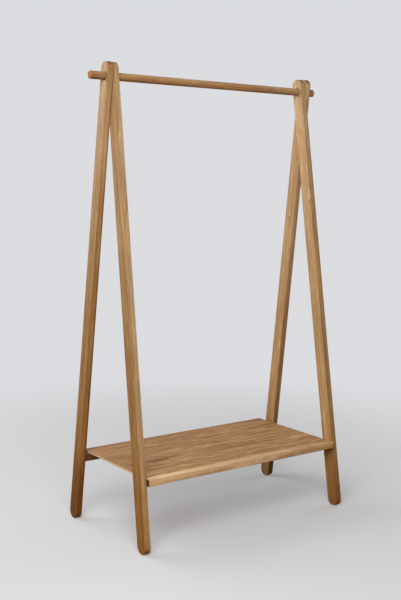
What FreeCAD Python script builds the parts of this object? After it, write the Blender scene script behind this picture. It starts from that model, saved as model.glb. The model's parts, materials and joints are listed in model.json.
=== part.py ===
"""Open frame wardrobe: two pairs of crossed wooden legs on one round rail, with a low shelf.

The front pair of legs and its crossbar swing on the rail between the rear pair. The shelf lies on
both crossbars, and its two lips hook over them, so that the legs can't spread any further.

Millimetres. +X runs along the rail, -Y is the front, +Z is up, and the floor is at Z = 0. The pieces
are drawn about the middle of the legs, and moved at the end until X = 0 is the middle of the rail.
"""
import FreeCAD, Part
import math
import os

from FreeCAD import Placement, Rotation, Vector

# Rail
RAIL_HEIGHT = 1566.0          # axis of the rail above the floor
RAIL_DIAMETER = 28.0
RAIL_LEFT_END = 57.0          # free end beyond the outer leg on the left
RAIL_RIGHT_END = 35.0         # and on the right
RAIL_END_BEVEL = 2.0

# Legs
LEG_ANGLE = 7.9               # lean of every leg from upright, in degrees
LEG_WIDTH = 51.0              # across the leg, seen from the side
LEG_THICKNESS = 21.0          # along the rail
LEG_TOP_REACH = 24.5          # from the rail's axis to the middle of the rounded top
LEG_ARRIS = 1.2               # rounding of the long edges
FRAME_OPENING = 820.0         # between the inner faces of the front legs

# Bearing of the front legs on the rail
RUNNING_FIT = 0.08            # radial clearance of a front leg on the rail
GLUE_FIT = 0.04               # radial clearance of a glued or driven piece
HOLE_EASE = 1.0               # bevel round the open rim of a rail hole
WASHER_THICKNESS = 1.8
WASHER_RIM = 5.0              # radial width of a washer
WASHER_PLAY = 0.1             # on each side of a washer

# Pin that holds the rail in each rear leg
PIN_DIAMETER = 6.0
PIN_RECESS = 1.0              # below the rear face of the leg
PIN_END_WALL = 5.0            # wood left in the rail beyond the pin
PIN_END_PLAY = 0.5            # free depth of the hole beyond the end of the pin

# Crossbars under the shelf
BAR_DEPTH = 20.0
BAR_HEIGHT = 25.0
BAR_SETBACK = 4.0             # middle of a bar, inwards from the middle line of its legs
BAR_ARRIS = 1.5

# Stub tenons of a crossbar in its legs
TENON_LENGTH = 12.0
TENON_SHOULDER = 4.0          # step from each side of the bar to its tenon
TENON_END_PLAY = 0.5          # free depth of a mortise beyond the end of its tenon

# Shelf
SHELF_TOP = 239.5             # above the floor
SHELF_END_PLAY = 2.0          # between the shelf and a front leg
BOARD_THICKNESS = 6.0
STAVE_COUNT = 12
TONGUE_DEPTH = 4.0
TONGUE_THICKNESS = 2.0
TONGUE_PLAY = 0.1             # free space round a tongue in its groove
LIP_DEPTH = 30.0
LIP_HEIGHT = 22.0
LIP_ROUND = 2.0
HOOK_PLAY = 1.0               # between a lip and the crossbar that it hooks over

# Places that follow from the sizes above
LEAN = math.radians(LEG_ANGLE)
LEG_RADIUS = LEG_WIDTH / 2.0
FOOT_REACH = (RAIL_HEIGHT - LEG_RADIUS) / math.cos(LEAN)
PAIR_GAP = WASHER_THICKNESS + 2.0 * WASHER_PLAY
FRONT_LEG_X = FRAME_OPENING / 2.0
REAR_LEG_X = FRONT_LEG_X + LEG_THICKNESS + PAIR_GAP
RAIL_LEFT_X = -REAR_LEG_X - LEG_THICKNESS - RAIL_LEFT_END
RAIL_RIGHT_X = REAR_LEG_X + LEG_THICKNESS + RAIL_RIGHT_END
RAIL_MIDDLE_X = (RAIL_LEFT_X + RAIL_RIGHT_X) / 2.0
BAR_TOP = SHELF_TOP - BOARD_THICKNESS
BAR_BOTTOM = BAR_TOP - BAR_HEIGHT
BAR_Y = (RAIL_HEIGHT - BAR_TOP + BAR_HEIGHT / 2.0) * math.tan(LEAN) - BAR_SETBACK
LIP_BACK_Y = BAR_Y + BAR_DEPTH / 2.0 + HOOK_PLAY
LIP_FRONT_Y = LIP_BACK_Y + LIP_DEPTH
SHELF_END_X = FRONT_LEG_X - SHELF_END_PLAY
TONGUE_Z = SHELF_TOP - BOARD_THICKNESS / 2.0
STAVE_WIDTH = 2.0 * LIP_BACK_Y / STAVE_COUNT

ALONG_X = Vector(1, 0, 0)
FRONT = -1
REAR = 1
LEFT = -1
RIGHT = 1


def rod(radius, x_start, x_end, y, z):
    """A round bar parallel to the rail."""
    return Part.makeCylinder(radius, x_end - x_start, Vector(x_start, y, z), ALONG_X)


def block(x_half, y_start, y_end, z_start, z_end):
    """A square bar parallel to the rail, with its middle at X = 0."""
    corner = Vector(-x_half, y_start, z_start)
    return Part.makeBox(2.0 * x_half, y_end - y_start, z_end - z_start, corner)


def edges_in_plane(shape, axis, value):
    """The edges of a shape that lie in the plane where the named coordinate has that value."""
    found = []
    for edge in shape.Edges:
        box = edge.BoundBox
        low = getattr(box, axis + "Min")
        high = getattr(box, axis + "Max")
        if abs(low - value) < 1e-6 and abs(high - value) < 1e-6:
            found.append(edge)
    return found


def leg_outline():
    """Straight sides and two half-round ends, upright, with the rail's axis at the origin."""
    top_right = Vector(0, LEG_RADIUS, LEG_TOP_REACH)
    top = Vector(0, 0, LEG_TOP_REACH + LEG_RADIUS)
    top_left = Vector(0, -LEG_RADIUS, LEG_TOP_REACH)
    foot_left = Vector(0, -LEG_RADIUS, -FOOT_REACH)
    foot = Vector(0, 0, -FOOT_REACH - LEG_RADIUS)
    foot_right = Vector(0, LEG_RADIUS, -FOOT_REACH)
    return Part.Wire([
        Part.Arc(top_right, top, top_left).toShape(),
        Part.LineSegment(top_left, foot_left).toShape(),
        Part.Arc(foot_left, foot, foot_right).toShape(),
        Part.LineSegment(foot_right, top_right).toShape(),
    ])


def rail_hole(fit, open_face):
    """The hole through a leg for the rail, eased on the face that its neighbour leaves open."""
    radius = RAIL_DIAMETER / 2.0 + fit
    hole = rod(radius, 0.0, LEG_THICKNESS, 0.0, 0.0)
    if open_face == LEFT:
        rim = Part.makeCone(radius + HOLE_EASE, radius, HOLE_EASE, Vector(0, 0, 0), ALONG_X)
    else:
        rim_start = Vector(LEG_THICKNESS - HOLE_EASE, 0, 0)
        rim = Part.makeCone(radius, radius + HOLE_EASE, HOLE_EASE, rim_start, ALONG_X)
    return hole.fuse(rim)


def upright_leg(fit, open_face):
    """A leg before it leans, from X = 0 to its thickness."""
    blank = Part.Face(leg_outline()).extrude(ALONG_X * LEG_THICKNESS)
    rims = edges_in_plane(blank, "X", 0.0) + edges_in_plane(blank, "X", LEG_THICKNESS)
    return blank.makeFillet(LEG_ARRIS, rims).cut(rail_hole(fit, open_face))


def leg_inner_face(row):
    """Distance from the middle of the legs to the inner face of a front or rear leg."""
    return FRONT_LEG_X if row == FRONT else REAR_LEG_X


def leaning(row):
    """The turn about the rail that leans an upright leg to the front or to the rear."""
    return Placement(Vector(0, 0, RAIL_HEIGHT), Rotation(ALONG_X, row * LEG_ANGLE))


def tenons(row, fit, end_play):
    """The core of a crossbar, which ends in its two tenons, or with allowances, their mortises."""
    half_length = leg_inner_face(row) + TENON_LENGTH + end_play
    half_depth = BAR_DEPTH / 2.0 - TENON_SHOULDER + fit
    low = BAR_BOTTOM + TENON_SHOULDER - fit
    high = BAR_TOP - TENON_SHOULDER + fit
    return block(half_length, row * BAR_Y - half_depth, row * BAR_Y + half_depth, low, high)


def rail_pin(side, fit, end_play):
    """The pin driven from the rear face of a rear leg into the rail, or the hole for it."""
    inner_end = -(RAIL_DIAMETER / 2.0 - PIN_END_WALL) - end_play
    outer_end = LEG_RADIUS if end_play else LEG_RADIUS - PIN_RECESS
    middle_x = side * (REAR_LEG_X + LEG_THICKNESS / 2.0)
    pin = Part.makeCylinder(
        PIN_DIAMETER / 2.0 + fit, outer_end - inner_end, Vector(middle_x, inner_end, 0), Vector(0, 1, 0))
    pin.Placement = leaning(REAR).multiply(pin.Placement)
    return pin


def leg(row, side):
    """A leg in its place, with the mortise for its crossbar and, at the rear, the hole for the pin."""
    fit = RUNNING_FIT if row == FRONT else GLUE_FIT
    open_face = -side if row == FRONT else side
    inner_face = leg_inner_face(row)
    start_x = inner_face if side == RIGHT else -inner_face - LEG_THICKNESS
    shape = upright_leg(fit, open_face)
    shape.Placement = leaning(row).multiply(Placement(Vector(start_x, 0, 0), Rotation()))
    cuts = [tenons(row, GLUE_FIT, TENON_END_PLAY)]
    if row == REAR:
        cuts.append(rail_pin(side, GLUE_FIT, PIN_END_PLAY))
    return shape.cut(cuts)


def hanging_rail():
    """The round rail, with bevelled ends and a hole for the pin in each rear leg."""
    rail = rod(RAIL_DIAMETER / 2.0, RAIL_LEFT_X, RAIL_RIGHT_X, 0.0, RAIL_HEIGHT)
    rims = edges_in_plane(rail, "X", RAIL_LEFT_X) + edges_in_plane(rail, "X", RAIL_RIGHT_X)
    rail = rail.makeChamfer(RAIL_END_BEVEL, rims)
    return rail.cut([rail_pin(side, GLUE_FIT, PIN_END_PLAY) for side in (LEFT, RIGHT)])


def washer(side):
    """The thin ring on the rail between a front leg and its rear leg."""
    inner_x = FRONT_LEG_X + LEG_THICKNESS + WASHER_PLAY
    start_x = inner_x if side == RIGHT else -inner_x - WASHER_THICKNESS
    bore = RAIL_DIAMETER / 2.0 + RUNNING_FIT
    ring = rod(bore + WASHER_RIM, start_x, start_x + WASHER_THICKNESS, 0.0, RAIL_HEIGHT)
    return ring.cut(rod(bore, start_x, start_x + WASHER_THICKNESS, 0.0, RAIL_HEIGHT))


def crossbar(row):
    """The bar between the two front or rear legs that carries the shelf, with a tenon at each end."""
    half_length = leg_inner_face(row)
    middle_y = row * BAR_Y
    bar = block(half_length, middle_y - BAR_DEPTH / 2.0, middle_y + BAR_DEPTH / 2.0, BAR_BOTTOM, BAR_TOP)
    long_edges = [edge for edge in bar.Edges if edge.BoundBox.XLength > half_length]
    return bar.makeFillet(BAR_ARRIS, long_edges).fuse(tenons(row, 0.0, 0.0))


def tongue(edge_y):
    """The tongue that stands forward from an edge of the shelf's boards."""
    half = TONGUE_THICKNESS / 2.0
    return block(SHELF_END_X, edge_y - TONGUE_DEPTH, edge_y, TONGUE_Z - half, TONGUE_Z + half)


def groove(edge_y):
    """The groove in an edge of the shelf's boards for the next board's tongue."""
    half = TONGUE_THICKNESS / 2.0 + TONGUE_PLAY
    depth = TONGUE_DEPTH + TONGUE_PLAY
    return block(SHELF_END_X, edge_y - depth, edge_y, TONGUE_Z - half, TONGUE_Z + half)


def stave(number):
    """One long board of the shelf, with a tongue in front and a groove behind."""
    front_y = -LIP_BACK_Y + number * STAVE_WIDTH
    rear_y = front_y + STAVE_WIDTH
    plank = block(SHELF_END_X, front_y, rear_y, BAR_TOP, SHELF_TOP)
    return plank.fuse(tongue(front_y)).cut(groove(rear_y)).removeSplitter()


def lip(row):
    """The deep edge of the shelf that hooks over a crossbar, with its outer face eased all round."""
    near, far = sorted((row * LIP_BACK_Y, row * LIP_FRONT_Y))
    bar = block(SHELF_END_X, near, far, SHELF_TOP - LIP_HEIGHT, SHELF_TOP)
    bar = bar.makeFillet(LIP_ROUND, edges_in_plane(bar, "Y", row * LIP_FRONT_Y))
    if row == FRONT:
        return bar.cut(groove(-LIP_BACK_Y))
    return bar.fuse(tongue(LIP_BACK_Y)).removeSplitter()


def all_pieces():
    """Every piece of the wardrobe by its name."""
    rows = ((FRONT, "front"), (REAR, "rear"))
    sides = ((LEFT, "left"), (RIGHT, "right"))
    pieces = {"hanging_rail": hanging_rail()}
    for row, row_name in rows:
        for side, side_name in sides:
            pieces[row_name + "_" + side_name + "_leg"] = leg(row, side)
        pieces[row_name + "_crossbar"] = crossbar(row)
        pieces["shelf_" + row_name + "_lip"] = lip(row)
    for side, side_name in sides:
        pieces["rail_pin_" + side_name] = rail_pin(side, 0.0, 0.0)
        pieces["leg_washer_" + side_name] = washer(side)
    for number in range(STAVE_COUNT):
        pieces["shelf_stave_%02d" % (number + 1)] = stave(number)
    return pieces


os.makedirs("parts", exist_ok=True)
for name, shape in all_pieces().items():
    shape.translate(Vector(-RAIL_MIDDLE_X, 0, 0))
    shape.exportStep(os.path.join("parts", name + ".step"))
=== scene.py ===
"""Looks of the open frame wardrobe: the wood of every piece, the washers, the stage and the camera.

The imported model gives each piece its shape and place. Here every wooden piece is cut from a log of its
own: growth rings round a heart that lies beside the piece, with streaks, fibres and pores along the
grain, so that faces, edges and ends show the same wood. Lengths are in metres, colours are linear.
"""
import json
import math
from dataclasses import dataclass

import bpy
import numpy as np
from bpy.props import FloatProperty, FloatVectorProperty, PointerProperty
from mathutils import Matrix, Vector


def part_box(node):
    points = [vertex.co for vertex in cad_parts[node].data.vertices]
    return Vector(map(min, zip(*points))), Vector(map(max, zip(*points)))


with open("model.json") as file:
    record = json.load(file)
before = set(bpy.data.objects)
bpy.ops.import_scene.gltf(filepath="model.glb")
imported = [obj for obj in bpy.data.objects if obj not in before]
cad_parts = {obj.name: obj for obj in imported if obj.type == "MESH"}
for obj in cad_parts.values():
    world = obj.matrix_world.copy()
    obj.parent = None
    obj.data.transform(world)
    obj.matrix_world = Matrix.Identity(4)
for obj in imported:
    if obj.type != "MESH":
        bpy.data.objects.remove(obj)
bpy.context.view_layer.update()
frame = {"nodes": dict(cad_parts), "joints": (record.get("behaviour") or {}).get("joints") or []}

bl_info = {
    "name": "Open frame wardrobe",
    "version": (1, 0, 0),
    "blender": (4, 5, 0),
    "location": "3D View > Sidebar > Wardrobe",
    "description": "Gives the pieces of a wooden clothes rack their finish and sets the stage",
    "category": "Object",
}

# Sizes of the rack that the cut of its wood depends on
FOLD = next(joint for joint in frame["joints"] if joint["name"] == "front_frame_fold")
RAIL_HEIGHT = FOLD["pos_m"][2]
LEG_LEAN = math.radians(7.9)
LEG_HALF_WIDTH = 0.0255
TONGUE_DEPTH = 0.004

# The grain of a piece runs along its own third axis. This turn lays that axis along the rail.
ALONG_RAIL = (0.0, math.radians(90.0), 0.0)

# Layers of the pattern: waves per metre across the grain and along it, detail, and a step aside in the noise
IN_PLACE = (0.0, 0.0, 0.0)
LAYERS = {
    "patch": (26.0, 4.5, 3.0, IN_PLACE),
    "streak": (95.0, 3.6, 4.0, IN_PLACE),
    "line": (240.0, 3.0, 2.0, (9.0, 9.0, 9.0)),
    "fibre": (520.0, 7.0, 3.0, IN_PLACE),
    "fleck": (170.0, 22.0, 3.0, (3.0, 7.0, 5.0)),
    "vessel": (2300.0, 120.0, 1.0, IN_PLACE),
    "warmth": (30.0, 3.4, 2.0, (5.0, 5.0, 5.0)),
    "bend": (4.0, 1.6, 1.0, IN_PLACE),
}
NOISE_MEAN = 0.5
SEED_STEP = (1.7, 2.3, 3.1)

# Where a layer begins to show as a mark, and where it shows in full
LINE_SHOWS = (0.54, 0.70)
FLECK_SHOWS = (0.44, 0.80)
PORE_SHOWS = (0.58, 0.70)
RUDDY_SHOWS = (0.42, 0.72)
END_GRAIN_SHOWS = (0.25, 0.85)

# Early wood is open and dark at the start of a year, and closes towards its end.
EARLY_WOOD = ((0.0, (0.15,) * 3), (0.10, (1.0,) * 3), (0.45, (0.25,) * 3), (1.0, (0.0,) * 3))
LATE_PORES = 0.2
RING_JITTER = 0.9
KNOT_JITTER = 2.5

# Tones: deep is 0, honey 0.5, straw 1 and cream the palest
BASE_TONE = 0.515
HONEY_TONE = 0.5
STRAW_TONE = 1.0
CREAM_TONE = 1.25

# How much the layers change the tone, and the means of those that don't average one half
FIBRE_TONE = 0.65
YEAR_TONE = 0.20
EARLY_TONE = -0.22
EARLY_MEAN = 0.3
LINE_TONE = -0.12
LINE_MEAN = 0.2
FLECK_TONE = 0.34
FLECK_MEAN = 0.26

# How places on a piece change the tone and the tints
RUDDY_PATCH = 0.7
# How far in from the front the painted light and shade on a front face reach, as a share of the half depth
FRONT_SHADE_DEPTH = 0.3
# How far the band of painted shade on a front face wanders across
GAP_SHADE_WANDER = 0.008
SOAKED_TONE = -0.05
SOAKED_RUDDY = 0.55
KNOT_TONE = 0.22
KNOT_RUDDY = -0.6

# Sizes of a knot, and of the paler wood above it, in radii of the knot
KNOT_LENGTH = 1.7
KNOT_EDGE = (0.25, 1.6)
PALE_ABOVE = 7.0
PALE_LENGTH = 9.0
PALE_WIDTH = 3.5
PALE_EDGE = (0.5, 1.1)

# Widths of the marks on a surface, and the share of the colour that each covers
EDGE_WIDTH = 0.003
# Width of the painted shade round the rail's hole in a leg
HOLE_SHADE_WIDTH = 0.004
SEAM_HALF_WIDTH = 0.001
# Half width of the painted shade on the rail beside each leg
LEG_SHADE_HALF_WIDTH = 0.007
LINE_CORE = 0.3
PORE_COVER = 0.5
EDGE_COVER = 0.30
END_COVER = 0.85
SEAM_COVER = 0.55
# Share of the colour that the painted shade round the hole covers
HOLE_SHADE_COVER = 0.6
# Share of the colour that the painted shade beside the legs covers
LEG_SHADE_COVER = 0.35
KNOT_COVER = 0.7

# How much rougher marks are than plain wood, and how high they stand in the relief
PORE_ROUGHNESS = 0.12
END_ROUGHNESS = 0.16
STREAK_ROUGHNESS = 0.10
EDGE_ROUGHNESS = -0.10
FIBRE_HEIGHT = 0.5
EARLY_HEIGHT = -0.25
RELIEF_STRENGTH = 0.35

# Pressed fibre of the washers
MOTTLE_WAVES = (1400.0, 1400.0, 1400.0)
MOTTLE_DETAIL = 3.0
WASHER_ROUGHNESS = 0.7
MOTTLE_ROUGHNESS = 0.2

# The stage
FLOOR_RADIUS = 30.0
FLOOR_RINGS = 24
FLOOR_SIDES = 64
FLOOR_ROUGHNESS = 0.8
FLOOR_GLOSS = 0.1
FLOOR_FADE = (0.7, 2.6)
NEAR_FADE = 0.25
WHITE = (1.0, 1.0, 1.0, 1.0)
LAMP_TARGET = (0.0, 0.0, 0.8)
SENSOR_WIDTH = 36.0


class WoodSettings(bpy.types.PropertyGroup):
    """The wood that the rack is made of, and the fibre of its washers."""

    deep: FloatVectorProperty(
        name="Deep tone", description="Darkest streaks of the wood",
        subtype="COLOR", size=3, min=0.0, max=1.0, default=(0.210, 0.102, 0.038))
    honey: FloatVectorProperty(
        name="Honey tone", description="Middle tone of the wood",
        subtype="COLOR", size=3, min=0.0, max=1.0, default=(0.420, 0.250, 0.118))
    straw: FloatVectorProperty(
        name="Straw tone", description="Pale streaks of the wood",
        subtype="COLOR", size=3, min=0.0, max=1.0, default=(0.600, 0.405, 0.215))
    cream: FloatVectorProperty(
        name="Cream tone", description="Palest wood",
        subtype="COLOR", size=3, min=0.0, max=1.0, default=(0.840, 0.620, 0.380))
    ruddy: FloatVectorProperty(
        name="Ruddy tint", description="Tint of the warmer patches",
        subtype="COLOR", size=3, min=0.0, max=1.0, default=(0.98, 0.80, 0.64))
    # On the legs the amber tint is painted warm bounce light from the floor
    amber: FloatVectorProperty(
        name="Amber tint", description="Tint that the legs take on towards the floor",
        subtype="COLOR", size=3, min=0.0, max=1.0, default=(0.97, 0.76, 0.36))
    # The pore tone is also the painted shade round the rail's hole and beside the legs, and it darkens the
    # crossbars all over
    pore: FloatVectorProperty(
        name="Pore tone", description="Open pores, knots, seams and stain",
        subtype="COLOR", size=3, min=0.0, max=1.0, default=(0.075, 0.034, 0.013))
    end_grain: FloatVectorProperty(
        name="End grain", description="Sawn ends, which take up more oil",
        subtype="COLOR", size=3, min=0.0, max=1.0, default=(0.180, 0.100, 0.048))
    # The pale ends of the staves are a painted highlight
    stave_end_highlight: FloatVectorProperty(
        name="Stave end", description="Ends of the staves, which are left pale",
        subtype="COLOR", size=3, min=0.0, max=1.0, default=(0.920, 0.720, 0.500))
    rail_end: FloatVectorProperty(
        name="Rail end", description="Sanded ends of the rail",
        subtype="COLOR", size=3, min=0.0, max=1.0, default=(0.440, 0.195, 0.105))
    # The lip's ends are dark end grain with painted shade from the legs beside them
    lip_end_shade: FloatVectorProperty(
        name="Lip end", description="Dark ends of the front lip",
        subtype="COLOR", size=3, min=0.0, max=1.0, default=(0.035, 0.014, 0.005))
    fibre_dark: FloatVectorProperty(
        name="Dark fibre", description="Darker mottle of the washers",
        subtype="COLOR", size=3, min=0.0, max=1.0, default=(0.018, 0.014, 0.011))
    fibre_pale: FloatVectorProperty(
        name="Pale fibre", description="Paler mottle of the washers",
        subtype="COLOR", size=3, min=0.0, max=1.0, default=(0.075, 0.060, 0.048))
    soak: FloatProperty(
        name="Soak", description="How far the oil soaks in from an end",
        unit="LENGTH", min=0.001, default=0.05)
    amber_start: FloatProperty(
        name="Amber start", description="How far below the rail the legs begin to turn amber",
        unit="LENGTH", min=0.0, default=0.20)
    foot_reach: FloatProperty(
        name="Foot reach", description="How far up a leg the tone of its foot reaches",
        unit="LENGTH", min=0.001, default=0.40)
    ring_width: FloatProperty(
        name="Ring width", description="Mean width of one year's growth",
        unit="LENGTH", min=0.0005, default=0.0046)
    sway: FloatProperty(
        name="Sway", description="How far the rings wander from round",
        unit="LENGTH", min=0.0, default=0.020)
    patch: FloatProperty(
        name="Patches", description="Contrast of the broad patches",
        subtype="FACTOR", min=0.0, max=2.0, default=0.80)
    streak: FloatProperty(
        name="Streaks", description="Contrast of the streaks along the grain",
        subtype="FACTOR", min=0.0, max=2.0, default=1.0)
    roughness: FloatProperty(
        name="Roughness", description="Roughness of the oiled surface",
        subtype="FACTOR", min=0.0, max=1.0, default=0.58)
    gloss: FloatProperty(
        name="Gloss", description="Strength of the reflection of the oiled surface",
        subtype="FACTOR", min=0.0, max=1.0, default=0.12)
    relief: FloatProperty(
        name="Relief", description="Depth of the open grain",
        unit="LENGTH", min=0.0, default=0.0003)


class StageSettings(bpy.types.PropertyGroup):
    """The floor, the light and the camera round the rack."""

    floor: FloatVectorProperty(
        name="Floor", description="Colour of the floor near the rack",
        subtype="COLOR", size=3, min=0.0, max=1.0, default=(0.80, 0.795, 0.79))
    bounce: FloatVectorProperty(
        name="Bounce", description="Colour of the light that the floor throws back on the rack",
        subtype="COLOR", size=3, min=0.0, max=1.0, default=(0.26, 0.14, 0.06))
    backdrop: FloatVectorProperty(
        name="Backdrop", description="Colour behind the rack",
        subtype="COLOR", size=3, min=0.0, max=1.0, default=(0.71, 0.72, 0.74))
    ambient: FloatProperty(
        name="Ambient", description="Strength of the light from all round",
        min=0.0, default=0.14)
    front_power: FloatProperty(
        name="Front lamp", description="Power of the soft lamp in front on the left",
        unit="POWER", min=0.0, default=90.0)
    front_place: FloatVectorProperty(
        name="Front lamp's place", description="Where the front lamp hangs",
        subtype="TRANSLATION", unit="LENGTH", size=3, default=(-1.9, -2.0, 2.4))
    rear_power: FloatProperty(
        name="Rear lamp", description="Power of the soft lamp behind on the left",
        unit="POWER", min=0.0, default=38.0)
    rear_place: FloatVectorProperty(
        name="Rear lamp's place", description="Where the rear lamp hangs",
        subtype="TRANSLATION", unit="LENGTH", size=3, default=(-1.3, 2.0, 2.2))
    side_power: FloatProperty(
        name="Side lamp", description="Power of the soft lamp low on the right",
        unit="POWER", min=0.0, default=30.0)
    side_place: FloatVectorProperty(
        name="Side lamp's place", description="Where the side lamp hangs",
        subtype="TRANSLATION", unit="LENGTH", size=3, default=(3.0, 0.2, 0.8))
    lamp_size: FloatProperty(
        name="Lamp size", description="Width of each soft lamp",
        unit="LENGTH", min=0.1, default=2.2)
    camera_place: FloatVectorProperty(
        name="Camera", description="Where the camera stands",
        subtype="TRANSLATION", unit="LENGTH", size=3, default=(-1.9972, -2.7669, 1.1812))
    camera_heading: FloatProperty(
        name="Heading", description="Turn of the camera from straight ahead to the right",
        subtype="ANGLE", default=math.radians(35.26))
    camera_pitch: FloatProperty(
        name="Pitch", description="Tilt of the camera above the horizon",
        subtype="ANGLE", default=math.radians(-0.735))
    camera_roll: FloatProperty(
        name="Roll", description="Turn of the camera about its own axis",
        subtype="ANGLE", default=math.radians(0.288))
    camera_lens: FloatProperty(
        name="Lens", description="Focal length in millimetres on a 36 mm frame",
        min=1.0, default=55.83)
    camera_shift: FloatProperty(
        name="Rise", description="Vertical shift of the frame, as a share of its longer side",
        default=-0.1636)


class Signal:
    """A socket of a node tree. Arithmetic on signals adds Math nodes to the tree."""

    def __init__(self, tree, socket=None):
        self.tree = tree
        self.socket = socket

    def node(self, kind, settings=None, sockets=None, output=0):
        """Adds a node of that kind. Settings come first, then the values or links of its sockets."""
        made = self.tree.nodes.new(kind)
        for key, value in (settings or {}).items():
            if key == "stops":
                self.set_stops(made.color_ramp.elements, value)
            else:
                setattr(made, key, value)
        for key, value in (sockets or {}).items():
            if isinstance(value, Signal):
                self.tree.links.new(value.socket, made.inputs[key])
            else:
                made.inputs[key].default_value = value
        return Signal(self.tree, made.outputs[output] if len(made.outputs) else None)

    @staticmethod
    def set_stops(elements, stops):
        """Gives a colour ramp its stops: pairs of a position and a colour."""
        while len(elements) < len(stops):
            elements.new(1.0)
        for element, (position, colour) in zip(elements, stops):
            element.position = position
            element.color = rgba(colour)

    def math(self, operation, *others):
        """A Math node on this signal and the others."""
        values = dict(enumerate((self, *others)))
        return self.node("ShaderNodeMath", {"operation": operation}, values)

    def __add__(self, other):
        return self.math("ADD", other)

    __radd__ = __add__

    def __sub__(self, other):
        return self.math("SUBTRACT", other)

    def __rsub__(self, other):
        return self.node("ShaderNodeMath", {"operation": "SUBTRACT"}, {0: other, 1: self})

    def __mul__(self, other):
        return self.math("MULTIPLY", other)

    __rmul__ = __mul__

    def __truediv__(self, other):
        return self.math("DIVIDE", other)

    def __abs__(self):
        return self.math("ABSOLUTE")

    def swing(self, weight, mean=NOISE_MEAN):
        """How far this signal is from its mean, times a weight."""
        return weight * (self - mean)

    def rise(self, low, high):
        """0 below low, 1 above high and a smooth step between them."""
        return self.node(
            "ShaderNodeMapRange", {"interpolation_type": "SMOOTHSTEP"},
            {"Value": self, "From Min": low, "From Max": high})

    def parts(self):
        """The three parts of a vector."""
        split = self.node("ShaderNodeSeparateXYZ", {}, {0: self}).socket.node
        return [Signal(self.tree, output) for output in split.outputs]

    def stretched(self, factors):
        """A vector with each part multiplied by its factor."""
        return self.node("ShaderNodeVectorMath", {"operation": "MULTIPLY"}, {0: self, 1: factors})

    def shifted(self, step):
        """A vector moved by a fixed step."""
        return self.node("ShaderNodeVectorMath", {"operation": "ADD"}, {0: self, 1: step})

    def laid(self, turn, middle=IN_PLACE):
        """A vector as seen from a piece that is laid at that middle with that turn."""
        return self.node(
            "ShaderNodeMapping", {"vector_type": "TEXTURE"},
            {"Vector": self, "Location": middle, "Rotation": turn})

    def noise(self, waves, detail, output="Fac"):
        """Noise on this vector, with so many waves per metre along each axis."""
        stretched = self.stretched(waves)
        return self.node(
            "ShaderNodeTexNoise", {}, {"Vector": stretched, "Scale": 1.0, "Detail": detail}, output)

    def blend(self, first, second):
        """A colour that goes from the first to the second as this signal goes from 0 to 1."""
        return self.node(
            "ShaderNodeMix", {"data_type": "RGBA"}, {0: self, 6: first, 7: second}, 2)


@dataclass
class Log:
    """How one piece lay in its tree, and how it was cut and finished."""

    middle: tuple               # a point on the piece's middle line
    turn: tuple                 # turn that lays the grain along the piece
    heart: tuple                # from that point to the tree's heart, across the grain
    drift: tuple                # slope of the grain against the piece
    seed: float                 # place of the piece in the noise
    tone: float = 0.0           # paler above 0, darker below
    warmth: float = 0.0         # share of the ruddy tint all over
    stain: float = 0.0          # share of the pore tone all over
    lively: float = 1.0         # strength and shortness of the streaks
    section: tuple = ()         # half the width and depth of a square section
    ends: tuple = ()            # where the piece begins and ends along its grain
    grade: tuple = (0.0, 0.0)   # change of tone and of the amber tint for each metre along the grain
    front_light_and_shade: tuple = ()             # painted light and shade on the front face: change of tone, of tint, and of tone for each metre
    gap_shade: tuple = ()          # painted shade in a band on the front face: its place and half width across, and its tone
    foot: tuple = ()            # painted shade and light at the foot of a leg: change of tone and of the amber tint
    knots: tuple = ()           # each a place along and across the piece, and a radius
    leg_shade_places: tuple = ()            # painted shade beside other pieces, at these places along the grain
    bore: float = 0.0           # radius of the hole through the middle point
    seams: tuple = ()           # where the piece meets its neighbours, across the grain
    end_tone: tuple = ()        # colour of the sawn ends where it isn't the wood's own


def rgba(colour):
    """A colour setting as a socket's four numbers."""
    return (*colour, 1.0)


def new_material(name):
    """An empty material with its shader: the material, a signal to build from and the shader node."""
    material = bpy.data.materials.new(name)
    material.use_nodes = True
    tree = material.node_tree
    shader = next(node for node in tree.nodes if node.type == "BSDF_PRINCIPLED")
    return material, Signal(tree), shader


def connect(signal, shader, socket):
    """Links a signal to a socket of the shader."""
    signal.tree.links.new(signal.socket, shader.inputs[socket])


def coordinate(start, output):
    """An output of the texture coordinates: a place on the piece or its normal there."""
    return start.node("ShaderNodeTexCoord", {}, {}, output)


def wood_layers(log, grain):
    """The layers of the pattern at the log's own place in the noise. Lively wood has shorter streaks."""
    seeded = grain.shifted([log.seed * step for step in SEED_STEP])
    layers = {}
    for name, (across, along, detail, step) in LAYERS.items():
        waves = along * log.lively if name == "streak" else along
        output = "Color" if name == "bend" else "Fac"
        layers[name] = seeded.shifted(step).noise((across, across, waves), detail, output)
    return layers


def ring_years(log, wood, parts, bend, jitter):
    """Years of growth: the distance from the heart, which wanders along the grain, over the ring width."""
    across, depth, along = parts
    sway_across, sway_depth, _ = bend.parts()
    from_heart_across = across - log.heart[0] - along * log.drift[0] + sway_across.swing(wood.sway)
    from_heart_depth = depth - log.heart[1] - along * log.drift[1] + sway_depth.swing(wood.sway)
    squared = from_heart_across * from_heart_across + from_heart_depth * from_heart_depth
    return squared.math("SQRT") / wood.ring_width + jitter


def ellipse(parts, place, reach):
    """Distance from a place along and across the piece, as a share of the reach in each direction."""
    _, depth, along = parts
    step_along = (along - place[0]) / reach[0]
    step_depth = (depth - place[1]) / reach[1]
    return (step_along * step_along + step_depth * step_depth).math("SQRT")


def most(signals):
    """The largest of some signals at each point, or nothing where there are none."""
    largest = None
    for signal in signals:
        largest = signal if largest is None else largest.math("MAXIMUM", signal)
    return largest


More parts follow.
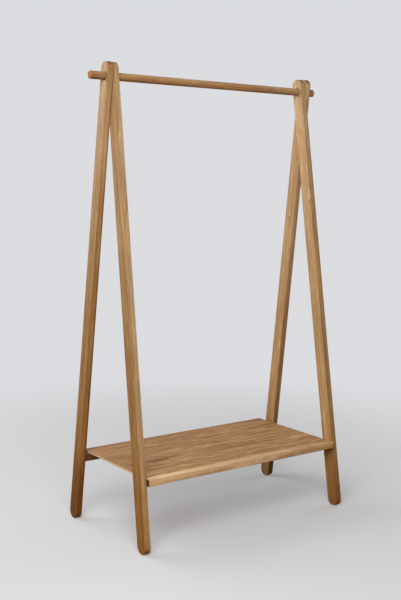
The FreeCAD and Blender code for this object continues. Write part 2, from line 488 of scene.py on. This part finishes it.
def knot_marks(log, parts):
    """Where knots are, and the paler wood above each: a knot is a branch that runs across the piece."""
    dark = []
    pale = []
    for along, depth, radius in log.knots:
        inside = ellipse(parts, (along, depth), (KNOT_LENGTH * radius, radius))
        above = (along + PALE_ABOVE * radius, depth)
        round_it = ellipse(parts, above, (PALE_LENGTH * radius, PALE_WIDTH * radius))
        dark.append(1.0 - inside.rise(*KNOT_EDGE))
        pale.append(1.0 - round_it.rise(*PALE_EDGE))
    return most(dark), most(pale)


def handled_edges(log, parts):
    """1 along the long edges of a square section, 0 away from them."""
    across, depth, _ = parts
    half_across, half_depth = log.section
    near_side = abs(across).rise(half_across - EDGE_WIDTH, half_across)
    near_front = abs(depth).rise(half_depth - EDGE_WIDTH, half_depth)
    return near_side * near_front


def front_face(log, depth):
    """1 on the front face of a square section, falling to 0 a little way in."""
    half_depth = log.section[1]
    return 1.0 - depth.rise(-half_depth, (FRONT_SHADE_DEPTH - 1.0) * half_depth)


def soaked_ends(log, wood, along):
    """1 at the ends of a piece, where the oil soaks in, falling to 0 a little way along it."""
    from_first = along - log.ends[0]
    from_last = log.ends[1] - along
    return 1.0 - from_first.math("MINIMUM", from_last).rise(0.0, wood.soak)


def painted_hole_shade(log, parts):
    """Painted shade round the hole through the middle point: 1 at its rim, falling to 0 round it."""
    _, depth, along = parts
    distance = (depth * depth + along * along).math("SQRT")
    return 1.0 - distance.rise(log.bore, log.bore + HOLE_SHADE_WIDTH)


def lines_at(places, position, half_width):
    """1 on lines at those places, 0 away from them."""
    return most(1.0 - abs(position - place).rise(LINE_CORE * half_width, half_width) for place in places)


def pattern_tone(log, wood, layers, early, good_year):
    """The tone of the pattern: each layer's distance from its mean, weighted."""
    tone = BASE_TONE + log.tone + layers["patch"].swing(wood.patch / log.lively)
    tone = tone + layers["streak"].swing(wood.streak * log.lively)
    tone = tone + layers["fibre"].swing(FIBRE_TONE)
    tone = tone + good_year.swing(YEAR_TONE)
    tone = tone + early.swing(EARLY_TONE, EARLY_MEAN)
    tone = tone + layers["line"].rise(*LINE_SHOWS).swing(LINE_TONE * log.lively, LINE_MEAN)
    return tone + layers["fleck"].rise(*FLECK_SHOWS).swing(FLECK_TONE * log.lively, FLECK_MEAN)


def place_tones(log, wood, parts, layers, round_knots):
    """Tone, ruddy tint and amber tint by place: along the piece, on its front, its ends, foot and knots. The
    changes on the front and at the foot, the band on the front, and on the legs and staves the change along
    them, are painted light and shade.
    """
    across, depth, along = parts
    # On the legs the change along the piece and the amber tint are painted shade and warm bounce light from
    # the floor, growing towards the floor
    tone = log.grade[0] * along
    ruddy = log.warmth + RUDDY_PATCH * layers["warmth"].rise(*RUDDY_SHOWS)
    amber = log.grade[1] * (along + wood.amber_start)
    # Painted light and shade on the front face
    if log.front_light_and_shade:
        front_tone, front_tint, front_grade = log.front_light_and_shade
        front = front_face(log, depth)
        tone = tone + (front_tone + front_grade * along) * front
        ruddy = ruddy + front_tint * front
        amber = amber + front_tint * front
    # A band of painted shade on the front face, next to the gap between crossed legs
    if log.gap_shade:
        middle, half_width, gap_shade_tone = log.gap_shade
        wandering = across + layers["patch"].swing(GAP_SHADE_WANDER)
        gap_shade = lines_at((middle,), wandering, half_width) * front_face(log, depth)
        tone = tone + gap_shade_tone * gap_shade
    if log.ends:
        soaked = soaked_ends(log, wood, along)
        tone = tone + SOAKED_TONE * soaked
        ruddy = ruddy + SOAKED_RUDDY * soaked
    # Painted shade, and on some legs painted light, at the foot
    if log.foot:
        foot_tone, foot_amber = log.foot
        low = 1.0 - (along - log.ends[0]).rise(0.0, wood.foot_reach)
        tone = tone + foot_tone * low
        amber = amber + foot_amber * low
    if log.knots:
        tone = tone + KNOT_TONE * round_knots
        ruddy = ruddy + KNOT_RUDDY * round_knots
    return tone, ruddy, amber


def tinted_wood(wood, tone, ruddy, amber):
    """The colour of a tone, from deep to cream, with its two tints."""
    stops = (
        (0.0, wood.deep), (HONEY_TONE / CREAM_TONE, wood.honey),
        (STRAW_TONE / CREAM_TONE, wood.straw), (1.0, wood.cream))
    colour = tone.node("ShaderNodeValToRGB", {"stops": stops}, {0: tone / CREAM_TONE})
    colour = ruddy.blend(colour, colour.stretched(wood.ruddy))
    return amber.blend(colour, colour.stretched(wood.amber))


def dark_marks_and_painted_shade(log, parts, knots):
    """Marks in the pore tone, each with the share of the wood's colour that it covers: dark seams and knots,
    and painted shade round the rail's hole and beside the legs.
    """
    _, depth, along = parts
    marks = []
    if log.seams:
        marks.append((lines_at(log.seams, depth, SEAM_HALF_WIDTH), SEAM_COVER))
    # Painted shade round the rail's hole
    if log.bore:
        marks.append((painted_hole_shade(log, parts), HOLE_SHADE_COVER))
    # Painted shade on the rail beside the legs
    if log.leg_shade_places:
        marks.append((lines_at(log.leg_shade_places, along, LEG_SHADE_HALF_WIDTH), LEG_SHADE_COVER))
    if log.knots:
        marks.append((knots, KNOT_COVER))
    return marks


def wood_material(name, log, wood):
    """Solid wood: the rings, streaks, fibres and pores of one log, seen wherever the piece is cut."""
    material, start, shader = new_material(name)
    grain = coordinate(start, "Object").laid(log.turn, log.middle)
    parts = grain.parts()
    layers = wood_layers(log, grain)
    knots, round_knots = knot_marks(log, parts)

    jitter = layers["streak"].swing(RING_JITTER)
    if log.knots:
        jitter = jitter + KNOT_JITTER * knots
    years = ring_years(log, wood, parts, layers["bend"], jitter)
    season = years.math("FRACT")
    early = season.node("ShaderNodeValToRGB", {"stops": EARLY_WOOD}, {0: season})
    year = years.math("FLOOR")
    good_year = year.node("ShaderNodeTexWhiteNoise", {"noise_dimensions": "1D"}, {"W": year})
    pores = layers["vessel"].rise(*PORE_SHOWS) * (LATE_PORES + (1.0 - LATE_PORES) * early)

    place_tone, ruddy, amber = place_tones(log, wood, parts, layers, round_knots)
    tone = pattern_tone(log, wood, layers, early, good_year) + place_tone
    colour = tinted_wood(wood, tone, ruddy, amber)
    colour = (log.stain + PORE_COVER * pores).blend(colour, rgba(wood.pore))

    along_normal = coordinate(start, "Normal").laid(log.turn).parts()[2]
    end_grain = abs(along_normal).rise(*END_GRAIN_SHOWS)
    roughness = wood.roughness + PORE_ROUGHNESS * pores + END_ROUGHNESS * end_grain
    roughness = roughness + layers["streak"].swing(STREAK_ROUGHNESS)
    if log.section:
        handled = handled_edges(log, parts)
        colour = (EDGE_COVER * handled).blend(colour, rgba(wood.deep))
        roughness = roughness + EDGE_ROUGHNESS * handled
    end_cover = end_grain * (END_COVER + (1.0 - END_COVER) * early)
    colour = end_cover.blend(colour, rgba(log.end_tone or wood.end_grain))
    for mark, cover in dark_marks_and_painted_shade(log, parts, knots):
        colour = (cover * mark).blend(colour, rgba(wood.pore))

    height = FIBRE_HEIGHT * layers["fibre"] - pores + EARLY_HEIGHT * early
    bump = height.node(
        "ShaderNodeBump", {},
        {"Strength": RELIEF_STRENGTH, "Distance": wood.relief, "Height": height})
    connect(colour, shader, "Base Color")
    connect(roughness, shader, "Roughness")
    connect(bump, shader, "Normal")
    shader.inputs["Specular IOR Level"].default_value = wood.gloss
    return material


def washer_material(name, wood):
    """Dark pressed fibre with a fine mottle."""
    material, start, shader = new_material(name)
    mottle = coordinate(start, "Object").noise(MOTTLE_WAVES, MOTTLE_DETAIL)
    connect(mottle.blend(rgba(wood.fibre_dark), rgba(wood.fibre_pale)), shader, "Base Color")
    connect(WASHER_ROUGHNESS + MOTTLE_ROUGHNESS * mottle, shader, "Roughness")
    return material


def dress(node, material):
    """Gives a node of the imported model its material."""
    slots = frame["nodes"][node].data.materials
    slots.clear()
    slots.append(material)


def middle_of(node):
    """The middle of a node's box."""
    low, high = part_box(node)
    return (low + high) / 2.0


def half_box(node):
    """Half of a node's size along each axis."""
    low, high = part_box(node)
    return (high - low) / 2.0


def bar_log(node, **cut):
    """The log of a square bar that runs along the rail."""
    half = half_box(node)
    return Log(middle_of(node), ALONG_RAIL, section=(half.z, half.y), ends=(-half.x, half.x), **cut)


class WARDROBE_OT_legs(bpy.types.Operator):
    """Finishes the four legs, each from a log of its own"""

    bl_idname = "wardrobe.legs"
    bl_label = "Legs"

    # Each leg: which way it leans, and its log. The grade, the front face, the stripe and the foot of each
    # log are painted light and shade.
    CUTS = {
        "front_left_leg": (-1, {
            "heart": (0.020, 0.055), "drift": (0.004, 0.012), "seed": 1.0,
            "tone": 0.25, "warmth": -0.25, "grade": (0.30, -0.58),
            "front_light_and_shade": (-0.09, -0.40, -0.33), "foot": (0.02, 0.4)}),
        "front_right_leg": (-1, {
            "heart": (-0.045, 0.030), "drift": (-0.006, 0.010), "seed": 2.2,
            "tone": 0.48, "warmth": -0.20, "grade": (0.26, -0.27),
            "front_light_and_shade": (-0.33, 0.0, -0.12), "foot": (-0.13, 0.4),
            "knots": ((-0.432, -0.017, 0.0035),)}),
        "rear_left_leg": (1, {
            "heart": (0.035, -0.050), "drift": (0.009, -0.008), "seed": 3.8,
            "tone": 0.23, "warmth": -0.25, "grade": (0.22, -0.58),
            "front_light_and_shade": (-0.14, 0.15, 0.0), "foot": (-0.34, 0.4),
            "gap_shade": (0.0075, 0.006, -0.30)}),
        "rear_right_leg": (1, {
            "heart": (-0.030, -0.060), "drift": (0.005, 0.011), "seed": 4.0,
            "tone": 0.28, "warmth": -0.20, "grade": (0.05, -0.27),
            "front_light_and_shade": (0.175, 0.0, 0.55), "foot": (0.10, 0.0),
            "knots": ((-0.4985, 0.002, 0.0025),)}),
    }

    def execute(self, context):
        wood = context.scene.wardrobe_wood
        for node, (lean, cut) in self.CUTS.items():
            low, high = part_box(node)
            pivot = ((low.x + high.x) / 2.0, 0.0, RAIL_HEIGHT)
            foot = (low.z + LEG_HALF_WIDTH - RAIL_HEIGHT) / math.cos(LEG_LEAN) - LEG_HALF_WIDTH
            top = (high.z - LEG_HALF_WIDTH - RAIL_HEIGHT) / math.cos(LEG_LEAN) + LEG_HALF_WIDTH
            log = Log(
                pivot, (lean * LEG_LEAN, 0.0, 0.0), section=(half_box(node).x, LEG_HALF_WIDTH),
                ends=(foot, top), bore=half_box("hanging_rail").z, **cut)
            dress(node, wood_material(node + "_wood", log, wood))
        return {"FINISHED"}


class WARDROBE_OT_rail(bpy.types.Operator):
    """Finishes the round hanging rail, with painted shade where it meets the legs on both sides"""

    bl_idname = "wardrobe.rail"
    bl_label = "Hanging rail"

    def execute(self, context):
        wood = context.scene.wardrobe_wood
        half = half_box("hanging_rail").x
        middle = middle_of("hanging_rail")
        low_sides = [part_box(node)[0].x - middle.x for node in ("rear_left_leg", "front_right_leg")]
        high_sides = [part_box(node)[1].x - middle.x for node in ("front_left_leg", "rear_right_leg")]
        log = Log(
            middle, ALONG_RAIL, heart=(0.030, 0.045), drift=(0.006, -0.004), seed=5.0,
            tone=0.05, warmth=0.42, grade=(0.15, 0.0), ends=(-half, half),
            leg_shade_places=(*low_sides, *high_sides), end_tone=wood.rail_end)
        dress("hanging_rail", wood_material("rail_wood", log, wood))
        return {"FINISHED"}


class WARDROBE_OT_crossbars(bpy.types.Operator):
    """Finishes the two crossbars under the shelf, which are made much darker than the other pieces"""

    bl_idname = "wardrobe.crossbars"
    bl_label = "Crossbars"

    FIRST_SEED = 6.0

    def execute(self, context):
        for number, node in enumerate(("front_crossbar", "rear_crossbar")):
            log = bar_log(
                node, heart=(0.050, 0.020), drift=(0.005, 0.003), seed=self.FIRST_SEED + number,
                tone=-0.60, warmth=0.9, stain=0.35)
            dress(node, wood_material(node + "_wood", log, context.scene.wardrobe_wood))
        return {"FINISHED"}


class WARDROBE_OT_shelf_staves(bpy.types.Operator):
    """Finishes the staves of the shelf, which differ a little in tone"""

    bl_idname = "wardrobe.shelf_staves"
    bl_label = "Shelf staves"

    FIRST_SEED = 10.0
    MEAN_TONE = 0.09
    TONE_SWING = 0.07
    MEAN_HEART = 0.030
    HEART_SWING = (0.020, 0.035)
    DRIFT_SWING = (0.006, 0.009)

    # Angles by which tone, heart and drift swing on from stave to stave
    SWING_START = 0.7
    SWING_STEP = 2.4
    HEART_STEP = 1.9
    DRIFT_STEP = 1.3

    def execute(self, context):
        wood = context.scene.wardrobe_wood
        staves = sorted(name for name in frame["nodes"] if name.startswith("shelf_stave_"))
        for number, node in enumerate(staves):
            swing = math.sin(self.SWING_STEP * number + self.SWING_START)
            heart_across = self.MEAN_HEART + self.HEART_SWING[0] * swing
            heart_depth = self.HEART_SWING[1] * math.cos(self.HEART_STEP * number)
            drift_across = self.DRIFT_SWING[0] * swing
            drift_depth = self.DRIFT_SWING[1] * math.cos(self.DRIFT_STEP * number)
            half_depth = half_box(node).y
            log = Log(
                middle_of(node), ALONG_RAIL,
                heart=(heart_across, heart_depth), drift=(drift_across, drift_depth),
                seed=self.FIRST_SEED + number, tone=self.MEAN_TONE + self.TONE_SWING * swing,
                # The grade makes the staves paler to the left: painted light from the left
                warmth=0.60, lively=1.8, grade=(-0.18, 0.0),
                # The pale ends are a painted highlight
                seams=(TONGUE_DEPTH - half_depth, half_depth), end_tone=wood.stave_end_highlight)
            dress(node, wood_material(node + "_wood", log, wood))
        return {"FINISHED"}


class WARDROBE_OT_shelf_lips(bpy.types.Operator):
    """Finishes the two lips of the shelf; the front one is paler, with ends of dark end grain and painted
    shade
    """

    bl_idname = "wardrobe.shelf_lips"
    bl_label = "Shelf lips"

    def execute(self, context):
        wood = context.scene.wardrobe_wood
        cuts = {
            # The ends of the front lip are dark end grain with painted shade
            "shelf_front_lip": {
                "seed": 31.3, "tone": 0.60, "warmth": 0.28, "grade": (-0.54, 0.25),
                # The front face of the front lip is painted lighter
                "front_light_and_shade": (0.09, 0.0, 0.0), "lively": 1.3, "end_tone": wood.lip_end_shade},
            "shelf_rear_lip": {"seed": 32.0, "tone": -0.08, "warmth": 0.2},
        }
        for node, cut in cuts.items():
            log = bar_log(node, heart=(0.045, 0.025), drift=(0.004, 0.005), **cut)
            dress(node, wood_material(node + "_wood", log, wood))
        return {"FINISHED"}


class WARDROBE_OT_rail_pins(bpy.types.Operator):
    """Finishes the two pins that hold the rail, with their end grain showing at the rear"""

    bl_idname = "wardrobe.rail_pins"
    bl_label = "Rail pins"

    FIRST_SEED = 40.0

    def execute(self, context):
        across_leg = (LEG_LEAN - math.radians(90.0), 0.0, 0.0)
        for number, node in enumerate(("rail_pin_left", "rail_pin_right")):
            log = Log(
                middle_of(node), across_leg, heart=(0.020, 0.015), drift=(0.0, 0.0),
                seed=self.FIRST_SEED + number, tone=0.15)
            dress(node, wood_material(node + "_wood", log, context.scene.wardrobe_wood))
        return {"FINISHED"}


class WARDROBE_OT_leg_washers(bpy.types.Operator):
    """Finishes the thin washers between the crossed legs"""

    bl_idname = "wardrobe.leg_washers"
    bl_label = "Leg washers"

    def execute(self, context):
        fibre = washer_material("washer_fibre", context.scene.wardrobe_wood)
        for node in ("leg_washer_left", "leg_washer_right"):
            dress(node, fibre)
        return {"FINISHED"}


def floor_disc(radius, rings, sides):
    """A flat disc: rings of points at equal angles, closer together towards the middle."""
    reach = radius * np.linspace(0.0, 1.0, rings + 1)[1:] ** 2
    angle = np.linspace(0.0, 2.0 * np.pi, sides, endpoint=False)
    x = np.outer(reach, np.cos(angle)).ravel()
    y = np.outer(reach, np.sin(angle)).ravel()
    points = np.column_stack((x, y, np.zeros_like(x)))
    step = np.arange(sides)
    follow = (step + 1) % sides
    start = sides * np.arange(rings - 1)[:, None]
    quads = np.stack((start + step, start + sides + step, start + sides + follow, start + follow), axis=-1)
    mesh = bpy.data.meshes.new("floor")
    mesh.from_pydata(points.tolist(), [], [step.tolist()] + quads.reshape(-1, 4).tolist())
    return mesh


def seen_rays(start):
    """1 for the camera, reflections and what shows through glass, 0 for light that falls on a surface."""
    rays = start.node("ShaderNodeLightPath").socket.node
    kinds = ("Is Camera Ray", "Is Glossy Ray", "Is Transmission Ray")
    return most(Signal(start.tree, rays.outputs[kind]) for kind in kinds)


def floor_material(stage):
    """A pale matt floor that fades into the backdrop with its distance from the rack."""
    material, start, shader = new_material("floor_paint")
    place = coordinate(start, "Object")
    distance = place.node("ShaderNodeVectorMath", {"operation": "LENGTH"}, {0: place}, "Value")
    seen = seen_rays(start)
    connect(seen.blend(rgba(stage.bounce), rgba(stage.floor)), shader, "Base Color")
    shader.inputs["Roughness"].default_value = FLOOR_ROUGHNESS
    shader.inputs["Specular IOR Level"].default_value = FLOOR_GLOSS
    glow = start.node("ShaderNodeEmission", {}, {"Color": rgba(stage.backdrop), "Strength": 1.0})
    fade = NEAR_FADE + (1.0 - NEAR_FADE) * distance.rise(*FLOOR_FADE)
    paint = Signal(start.tree, shader.outputs[0])
    surface = start.node("ShaderNodeMixShader", {}, {0: fade * seen, 1: paint, 2: glow})
    output = next(node for node in start.tree.nodes if node.type == "OUTPUT_MATERIAL")
    connect(surface, output, "Surface")
    return material


def set_world(stage):
    """Even light from all round, and the backdrop's colour wherever the camera or a reflection sees it."""
    world = bpy.data.worlds.new("backdrop")
    world.use_nodes = True
    bpy.context.scene.world = world
    start = Signal(world.node_tree)
    seen = seen_rays(start)
    background = next(node for node in start.tree.nodes if node.type == "BACKGROUND")
    connect(seen.blend(WHITE, rgba(stage.backdrop)), background, "Color")
    connect(stage.ambient + (1.0 - stage.ambient) * seen, background, "Strength")


def add_lamp(name, place, size, power):
    """A square soft lamp at a place, turned towards the rack."""
    lamp = bpy.data.lights.new(name, "AREA")
    lamp.shape = "SQUARE"
    lamp.size = size
    lamp.energy = power
    holder = bpy.data.objects.new(name, lamp)
    holder.location = place
    holder.rotation_euler = (Vector(LAMP_TARGET) - Vector(place)).to_track_quat("-Z", "Y").to_euler()
    holder.visible_camera = False
    bpy.context.scene.collection.objects.link(holder)


def add_camera(stage):
    """The camera: its heading, pitch and roll as three axes."""
    heading, pitch, roll = stage.camera_heading, stage.camera_pitch, stage.camera_roll
    ahead = Vector((math.sin(heading), math.cos(heading), 0.0))
    forward = ahead * math.cos(pitch) + Vector((0.0, 0.0, math.sin(pitch)))
    level = Vector((math.cos(heading), -math.sin(heading), 0.0))
    upright = level.cross(forward)
    right = level * math.cos(roll) + upright * math.sin(roll)
    up = upright * math.cos(roll) - level * math.sin(roll)
    camera = bpy.data.cameras.new("camera")
    camera.sensor_width = SENSOR_WIDTH
    camera.lens = stage.camera_lens
    camera.shift_y = stage.camera_shift
    holder = bpy.data.objects.new("camera", camera)
    axes = Matrix((right, up, -forward)).transposed()
    holder.matrix_world = Matrix.Translation(stage.camera_place) @ axes.to_4x4()
    bpy.context.scene.collection.objects.link(holder)
    bpy.context.scene.camera = holder


class WARDROBE_OT_stage(bpy.types.Operator):
    """Sets the floor, the backdrop, the lamps and the camera"""

    bl_idname = "wardrobe.stage"
    bl_label = "Stage"

    def execute(self, context):
        stage = context.scene.wardrobe_stage
        floor = bpy.data.objects.new("floor", floor_disc(FLOOR_RADIUS, FLOOR_RINGS, FLOOR_SIDES))
        floor.data.materials.append(floor_material(stage))
        context.scene.collection.objects.link(floor)
        set_world(stage)
        add_lamp("front_lamp", stage.front_place, stage.lamp_size, stage.front_power)
        add_lamp("rear_lamp", stage.rear_place, stage.lamp_size, stage.rear_power)
        add_lamp("side_lamp", stage.side_place, stage.lamp_size, stage.side_power)
        add_camera(stage)
        context.scene.view_settings.view_transform = "Standard"
        return {"FINISHED"}


OPERATORS = (
    WARDROBE_OT_legs,
    WARDROBE_OT_rail,
    WARDROBE_OT_crossbars,
    WARDROBE_OT_shelf_staves,
    WARDROBE_OT_shelf_lips,
    WARDROBE_OT_rail_pins,
    WARDROBE_OT_leg_washers,
    WARDROBE_OT_stage,
)


class WARDROBE_PT_panel(bpy.types.Panel):
    """Lists the pieces of the rack and their settings"""

    bl_idname = "WARDROBE_PT_panel"
    bl_label = "Open frame wardrobe"
    bl_space_type = "VIEW_3D"
    bl_region_type = "UI"
    bl_category = "Wardrobe"

    def draw(self, context):
        for operator in OPERATORS:
            self.layout.operator(operator.bl_idname)
        for group in (context.scene.wardrobe_wood, context.scene.wardrobe_stage):
            box = self.layout.box()
            for name in group.bl_rna.properties.keys():
                if name not in ("rna_type", "name"):
                    box.prop(group, name)


CLASSES = (WoodSettings, StageSettings, *OPERATORS, WARDROBE_PT_panel)


def register():
    """Adds the settings, the operators and the panel to Blender."""
    for each in CLASSES:
        bpy.utils.register_class(each)
    bpy.types.Scene.wardrobe_wood = PointerProperty(type=WoodSettings)
    bpy.types.Scene.wardrobe_stage = PointerProperty(type=StageSettings)


def unregister():
    """Takes them out again."""
    del bpy.types.Scene.wardrobe_stage
    del bpy.types.Scene.wardrobe_wood
    for each in reversed(CLASSES):
        bpy.utils.unregister_class(each)


def main():
    """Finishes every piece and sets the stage."""
    register()
    bpy.ops.wardrobe.legs()
    bpy.ops.wardrobe.rail()
    bpy.ops.wardrobe.crossbars()
    bpy.ops.wardrobe.shelf_staves()
    bpy.ops.wardrobe.shelf_lips()
    bpy.ops.wardrobe.rail_pins()
    bpy.ops.wardrobe.leg_washers()
    bpy.ops.wardrobe.stage()


if __name__ == "__main__":
    main()
